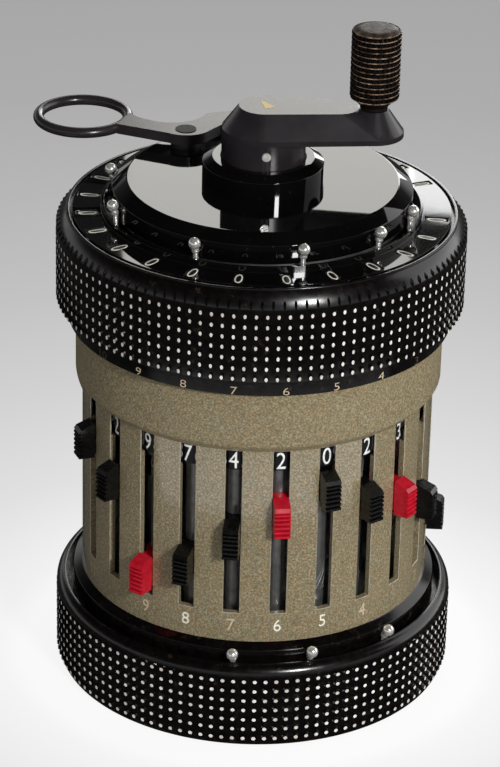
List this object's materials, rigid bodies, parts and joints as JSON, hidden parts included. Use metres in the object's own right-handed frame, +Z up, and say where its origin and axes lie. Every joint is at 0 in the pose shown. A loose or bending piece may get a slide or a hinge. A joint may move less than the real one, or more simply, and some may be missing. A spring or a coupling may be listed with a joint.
{
  "type": "mechanical calculator",
  "caption": "Pocket mechanical calculator: a knurled drum body with setting sliders, a turning carriage with windows, a clearing lever and a crank on top.",
  "frame": {"origin": "the middle of the flat bottom face, on the axis of the drum and crank", "axes": "+Z up along the drum axis, -Y towards the middle setting slider, +X towards setting slider 1 and the crank's rest side"},
  "size_m": [0.0667, 0.065, 0.1096],
  "materials": {
    "knurled_black": "black lacquer on knurled aluminium, bare on the points",
    "hammered_paint": "dark grey hammered enamel",
    "gloss_black": "polished black lacquer",
    "window_black": "satin black lacquer",
    "black_plastic": "moulded black plastic",
    "red_plastic": "moulded red plastic",
    "bright_steel": "polished bright steel",
    "machined_steel": "turned and ground steel",
    "machined_aluminium": "turned aluminium",
    "digit_black": "black rolls with pale printed numerals"
  },
  "bodies": {
    "root": {"base_ring": "knurled_black", "bottom_plate": "machined_aluminium", "bottom_screws": "machined_steel", "frame_pillars": "machined_steel", "housing": "hammered_paint", "lower_bearing_plate": "machined_aluminium", "upper_bearing_plate": "machined_aluminium", "drive_shafts": "machined_steel", "tens_slides": "machined_steel", "guide_tube": "machined_steel", "spring_cap": "machined_steel", "carriage_spring": "machined_steel"},
    "ratchet": {"ratchet_wheel": "machined_steel"},
    "crank": {"main_shaft": "machined_steel", "step_drum": "machined_aluminium", "crank_arm": "gloss_black", "crank_pin": "bright_steel", "knob_stud": "machined_steel"},
    "knob": {"crank_knob": "black_plastic"},
    "reversing": {"reversing_lever": "black_plastic"},
    "carriage_guide": {"thrust_ring": "machined_steel"},
    "carriage": {"carriage_ring": "knurled_black", "carriage_frame": "machined_aluminium", "window_plate": "window_black", "number_dials": "digit_black", "dial_gears": "machined_steel"},
    "clearing": {"clearing_plate": "gloss_black", "pivot_screw": "bright_steel"},
    "lever": {"clearing_lever": "gloss_black"},
    "setting_01": {"setting_slider_01": "black_plastic"},
    "digit_01": {"setting_shaft_01": "digit_black"},
    "setting_02": {"setting_slider_02": "black_plastic"},
    "digit_02": {"setting_shaft_02": "digit_black"},
    "setting_03": {"setting_slider_03": "red_plastic"},
    "digit_03": {"setting_shaft_03": "digit_black"},
    "setting_04": {"setting_slider_04": "black_plastic"},
    "digit_04": {"setting_shaft_04": "digit_black"},
    "setting_05": {"setting_slider_05": "black_plastic"},
    "digit_05": {"setting_shaft_05": "digit_black"},
    "setting_06": {"setting_slider_06": "red_plastic"},
    "digit_06": {"setting_shaft_06": "digit_black"},
    "setting_07": {"setting_slider_07": "black_plastic"},
    "digit_07": {"setting_shaft_07": "digit_black"},
    "setting_08": {"setting_slider_08": "black_plastic"},
    "digit_08": {"setting_shaft_08": "digit_black"},
    "setting_09": {"setting_slider_09": "red_plastic"},
    "digit_09": {"setting_shaft_09": "digit_black"},
    "setting_10": {"setting_slider_10": "black_plastic"},
    "digit_10": {"setting_shaft_10": "digit_black"},
    "setting_11": {"setting_slider_11": "black_plastic"},
    "digit_11": {"setting_shaft_11": "digit_black"},
    "lower_marker_1": {"lower_bead_1": "bright_steel"},
    "lower_marker_2": {"lower_bead_2": "bright_steel"},
    "lower_marker_3": {"lower_bead_3": "bright_steel"},
    "upper_marker_1": {"upper_bead_1": "bright_steel"},
    "upper_marker_2": {"upper_bead_2": "bright_steel"},
    "upper_marker_3": {"upper_bead_3": "bright_steel"},
    "upper_marker_4": {"upper_bead_4": "bright_steel"},
    "upper_marker_5": {"upper_bead_5": "bright_steel"},
    "upper_marker_6": {"upper_bead_6": "bright_steel"}
  },
  "joints": [
    {"name": "crank_turn", "type": "hinge", "parent": "root", "child": "ratchet", "pos_m": [0, 0, 0], "axis": [0, 0, 1], "continuous": true},
    {"name": "crank_lift", "type": "slide", "parent": "ratchet", "child": "crank", "axis": [0, 0, 1], "range_m": [0, 0.003]},
    {"name": "knob_spin", "type": "hinge", "parent": "crank", "child": "knob", "pos_m": [0.0167, -0.00259, 0.1], "axis": [0, 0, 1], "continuous": true},
    {"name": "carriage_lift", "type": "slide", "parent": "root", "child": "carriage_guide", "axis": [0, 0, 1], "range_m": [0, 0.003], "stiffness_N_per_m": 600, "springref_m": -0.004, "deforming": ["carriage_spring"]},
    {"name": "carriage_turn", "type": "hinge", "parent": "carriage_guide", "child": "carriage", "pos_m": [0, 0, 0], "axis": [0, 0, 1], "range_deg": [0, 105]},
    {"name": "clearing_turn", "type": "hinge", "parent": "carriage", "child": "clearing", "pos_m": [0, 0, 0], "axis": [0, 0, 1], "continuous": true},
    {"name": "lever_fold", "type": "hinge", "parent": "clearing", "child": "lever", "pos_m": [-0.01055, 0.0141, 0.0862], "axis": [0, 0, 1], "range_deg": [0, 88]},
    {"name": "reversing_slide", "type": "slide", "parent": "root", "child": "reversing", "axis": [0, 0, 1], "range_m": [-0.006, 0]},
    {"name": "setting_01_slide", "type": "slide", "parent": "root", "child": "setting_01", "axis": [0, 0, 1], "range_m": [-0.00195, 0.0156]},
    {"name": "digit_01_turn", "type": "hinge", "parent": "root", "child": "digit_01", "pos_m": [0.02371, -0.00635, 0.045], "axis": [0, 0, 1], "range_deg": [-288.1, 36.1]},
    {"name": "setting_02_slide", "type": "slide", "parent": "root", "child": "setting_02", "axis": [0, 0, 1], "range_m": [-0.0078, 0.00975]},
    {"name": "digit_02_turn", "type": "hinge", "parent": "root", "child": "digit_02", "pos_m": [0.02126, -0.01227, 0.045], "axis": [0, 0, 1], "range_deg": [-180.1, 144.1]},
    {"name": "setting_03_slide", "type": "slide", "parent": "root", "child": "setting_03", "axis": [0, 0, 1], "range_m": [-0.0117, 0.00585]},
    {"name": "digit_03_turn", "type": "hinge", "parent": "root", "child": "digit_03", "pos_m": [0.01736, -0.01736, 0.045], "axis": [0, 0, 1], "range_deg": [-108.1, 216.1]},
    {"name": "setting_04_slide", "type": "slide", "parent": "root", "child": "setting_04", "axis": [0, 0, 1], "range_m": [-0.01365, 0.0039]},
    {"name": "digit_04_turn", "type": "hinge", "parent": "root", "child": "digit_04", "pos_m": [0.01227, -0.02126, 0.045], "axis": [0, 0, 1], "range_deg": [-72.1, 252.1]},
    {"name": "setting_05_slide", "type": "slide", "parent": "root", "child": "setting_05", "axis": [0, 0, 1], "range_m": [-0.01755, 0]},
    {"name": "digit_05_turn", "type": "hinge", "parent": "root", "child": "digit_05", "pos_m": [0.00635, -0.02371, 0.045], "axis": [0, 0, 1], "range_deg": [-0.1, 324.1]},
    {"name": "setting_06_slide", "type": "slide", "parent": "root", "child": "setting_06", "axis": [0, 0, 1], "range_m": [-0.01365, 0.0039]},
    {"name": "digit_06_turn", "type": "hinge", "parent": "root", "child": "digit_06", "pos_m": [0, -0.02455, 0.045], "axis": [0, 0, 1], "range_deg": [-72.1, 252.1]},
    {"name": "setting_07_slide", "type": "slide", "parent": "root", "child": "setting_07", "axis": [0, 0, 1], "range_m": [-0.00975, 0.0078]},
    {"name": "digit_07_turn", "type": "hinge", "parent": "root", "child": "digit_07", "pos_m": [-0.00635, -0.02371, 0.045], "axis": [0, 0, 1], "range_deg": [-144.1, 180.1]},
    {"name": "setting_08_slide", "type": "slide", "parent": "root", "child": "setting_08", "axis": [0, 0, 1], "range_m": [-0.0039, 0.01365]},
    {"name": "digit_08_turn", "type": "hinge", "parent": "root", "child": "digit_08", "pos_m": [-0.01227, -0.02126, 0.045], "axis": [0, 0, 1], "range_deg": [-252.1, 72.1]},
    {"name": "setting_09_slide", "type": "slide", "parent": "root", "child": "setting_09", "axis": [0, 0, 1], "range_m": [0, 0.01755]},
    {"name": "digit_09_turn", "type": "hinge", "parent": "root", "child": "digit_09", "pos_m": [-0.01736, -0.01736, 0.045], "axis": [0, 0, 1], "range_deg": [-324.1, 0.1]},
    {"name": "setting_10_slide", "type": "slide", "parent": "root", "child": "setting_10", "axis": [0, 0, 1], "range_m": [-0.01365, 0.0039]},
    {"name": "digit_10_turn", "type": "hinge", "parent": "root", "child": "digit_10", "pos_m": [-0.02126, -0.01227, 0.045], "axis": [0, 0, 1], "range_deg": [-72.1, 252.1]},
    {"name": "setting_11_slide", "type": "slide", "parent": "root", "child": "setting_11", "axis": [0, 0, 1], "range_m": [-0.01755, 0]},
    {"name": "digit_11_turn", "type": "hinge", "parent": "root", "child": "digit_11", "pos_m": [-0.02371, -0.00635, 0.045], "axis": [0, 0, 1], "range_deg": [-0.1, 324.1]},
    {"name": "lower_marker_1_slide", "type": "hinge", "parent": "root", "child": "lower_marker_1", "pos_m": [0, 0, 0], "axis": [0, 0, 1], "range_deg": [-60, 9]},
    {"name": "lower_marker_2_slide", "type": "hinge", "parent": "root", "child": "lower_marker_2", "pos_m": [0, 0, 0], "axis": [0, 0, 1], "range_deg": [-9, 10]},
    {"name": "lower_marker_3_slide", "type": "hinge", "parent": "root", "child": "lower_marker_3", "pos_m": [0, 0, 0], "axis": [0, 0, 1], "range_deg": [-10, 60]},
    {"name": "upper_marker_1_slide", "type": "hinge", "parent": "carriage", "child": "upper_marker_1", "pos_m": [0, 0, 0], "axis": [0, 0, 1], "range_deg": [-50, 14]},
    {"name": "upper_marker_2_slide", "type": "hinge", "parent": "carriage", "child": "upper_marker_2", "pos_m": [0, 0, 0], "axis": [0, 0, 1], "range_deg": [-15, 18]},
    {"name": "upper_marker_3_slide", "type": "hinge", "parent": "carriage", "child": "upper_marker_3", "pos_m": [0, 0, 0], "axis": [0, 0, 1], "range_deg": [-20, 16]},
    {"name": "upper_marker_4_slide", "type": "hinge", "parent": "carriage", "child": "upper_marker_4", "pos_m": [0, 0, 0], "axis": [0, 0, 1], "range_deg": [-16, 12]},
    {"name": "upper_marker_5_slide", "type": "hinge", "parent": "carriage", "child": "upper_marker_5", "pos_m": [0, 0, 0], "axis": [0, 0, 1], "range_deg": [-13, 8]},
    {"name": "upper_marker_6_slide", "type": "hinge", "parent": "carriage", "child": "upper_marker_6", "pos_m": [0, 0, 0], "axis": [0, 0, 1], "range_deg": [-9, 60]}
  ],
  "couplings": [
    {"joint": "digit_01_turn", "follows": "setting_01_slide", "rad_per_m": -322.21},
    {"joint": "digit_02_turn", "follows": "setting_02_slide", "rad_per_m": -322.21},
    {"joint": "digit_03_turn", "follows": "setting_03_slide", "rad_per_m": -322.21},
    {"joint": "digit_04_turn", "follows": "setting_04_slide", "rad_per_m": -322.21},
    {"joint": "digit_05_turn", "follows": "setting_05_slide", "rad_per_m": -322.21},
    {"joint": "digit_06_turn", "follows": "setting_06_slide", "rad_per_m": -322.21},
    {"joint": "digit_07_turn", "follows": "setting_07_slide", "rad_per_m": -322.21},
    {"joint": "digit_08_turn", "follows": "setting_08_slide", "rad_per_m": -322.21},
    {"joint": "digit_09_turn", "follows": "setting_09_slide", "rad_per_m": -322.21},
    {"joint": "digit_10_turn", "follows": "setting_10_slide", "rad_per_m": -322.21},
    {"joint": "digit_11_turn", "follows": "setting_11_slide", "rad_per_m": -322.21}
  ]
}
